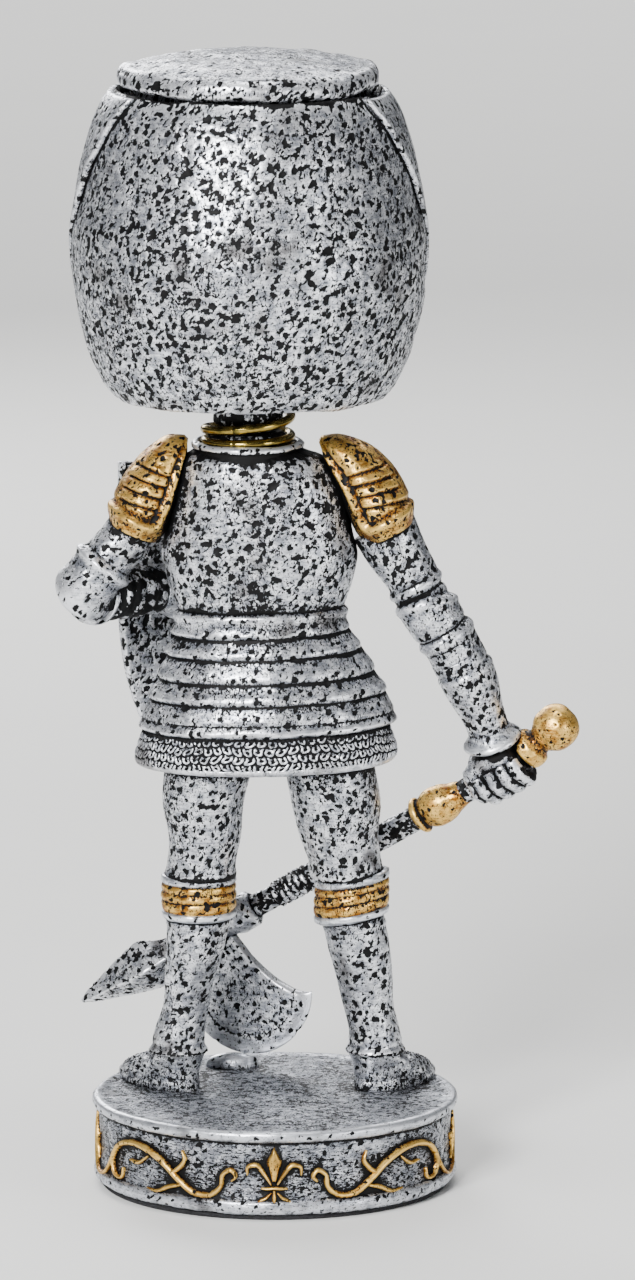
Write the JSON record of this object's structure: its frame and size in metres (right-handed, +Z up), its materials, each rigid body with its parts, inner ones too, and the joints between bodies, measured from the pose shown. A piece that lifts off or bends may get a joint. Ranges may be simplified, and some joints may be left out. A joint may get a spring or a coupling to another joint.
{
  "type": "bobble-head figurine",
  "caption": "Bobble-head knight figurine in antique silver and gold cast resin: great helm on a neck spring, plate armour, shield and poleaxe, on a round plinth with scrollwork.",
  "frame": {"origin": "centre of the plinth's underside, on the felt", "axes": "+Z up; the figure faces -Y; its left hand, with the shield, is on +X"},
  "size_m": [0.0839, 0.0589, 0.183],
  "materials": {
    "silver_resin": "cold-cast resin, silver dry-brushed over black, semi-matt",
    "gold_resin": "cold-cast resin, antique gold wash over black, semi-gloss",
    "spring_wire": "bright brass-plated spring wire",
    "steel_wire": "drawn steel wire",
    "felt": "black felt"
  },
  "bodies": {
    "figure": {"base_pad": "felt", "base_casting": "silver_resin", "base_relief": "gold_resin", "axe_rest": "silver_resin", "ankle_pin_left": "steel_wire", "ankle_pin_right": "steel_wire", "sabaton_left": "silver_resin", "sabaton_right": "silver_resin", "greave_left": "silver_resin", "greave_right": "silver_resin", "poleyn_left": "gold_resin", "poleyn_right": "gold_resin", "cuisse_left": "silver_resin", "cuisse_right": "silver_resin", "mail_skirt": "silver_resin", "fauld_lame_1": "silver_resin", "fauld_lame_2": "silver_resin", "fauld_lame_3": "silver_resin", "fauld_lame_4": "silver_resin", "waist_belt": "silver_resin", "back_plate": "silver_resin", "breast_plate": "silver_resin", "neck_collar": "silver_resin", "neck_plug": "silver_resin", "pauldron_left": "gold_resin", "pauldron_right": "gold_resin", "shoulder_pin_left": "steel_wire", "shoulder_pin_right": "steel_wire", "rerebrace_left": "silver_resin", "rerebrace_right": "silver_resin", "couter_left": "silver_resin", "couter_right": "silver_resin", "vambrace_left": "silver_resin", "vambrace_right": "silver_resin", "cuff_left": "silver_resin", "cuff_right": "silver_resin", "gauntlet_left": "silver_resin", "gauntlet_right": "silver_resin", "shield_board": "silver_resin", "shield_rim": "silver_resin", "shield_cross": "gold_resin", "shield_grip": "silver_resin", "axe_pommel": "gold_resin", "axe_shaft": "silver_resin", "axe_knop": "gold_resin", "axe_socket": "silver_resin", "axe_blade": "silver_resin", "axe_spike": "silver_resin", "axe_core_wire": "steel_wire", "spring_seat_turns": "spring_wire"},
    "spring_low": {"spring_low_turn": "spring_wire"},
    "spring_mid": {"spring_mid_turn": "spring_wire"},
    "spring_high": {"spring_high_turn": "spring_wire"},
    "head": {"spring_head_turns": "spring_wire", "helm_floor": "silver_resin", "helm_barrel": "silver_resin", "helm_crown": "silver_resin", "helm_face_plate": "silver_resin", "helm_cross": "gold_resin"}
  },
  "joints": [
    {"name": "head_nod", "type": "hinge", "parent": "figure", "child": "spring_low", "pos_m": [0.0042, 0, 0.1228], "axis": [1, 0, 0], "range_deg": [-12, 12], "stiffness_Nm_per_rad": 0.05, "deforming": ["spring_seat_turns", "spring_low_turn"]},
    {"name": "head_sway", "type": "hinge", "parent": "spring_low", "child": "spring_mid", "pos_m": [0.0042, 0, 0.1236], "axis": [0, 1, 0], "range_deg": [-10, 10], "stiffness_Nm_per_rad": 0.05, "deforming": ["spring_mid_turn"]},
    {"name": "head_turn", "type": "hinge", "parent": "spring_mid", "child": "spring_high", "pos_m": [0.0042, 0, 0.1244], "axis": [0, 0, 1], "range_deg": [-20, 20], "stiffness_Nm_per_rad": 0.03, "deforming": ["spring_high_turn"]},
    {"name": "head_bounce", "type": "slide", "parent": "spring_high", "child": "head", "axis": [0, 0, 1], "range_m": [0, 0.003], "stiffness_N_per_m": 500, "deforming": ["spring_head_turns"]}
  ]
}
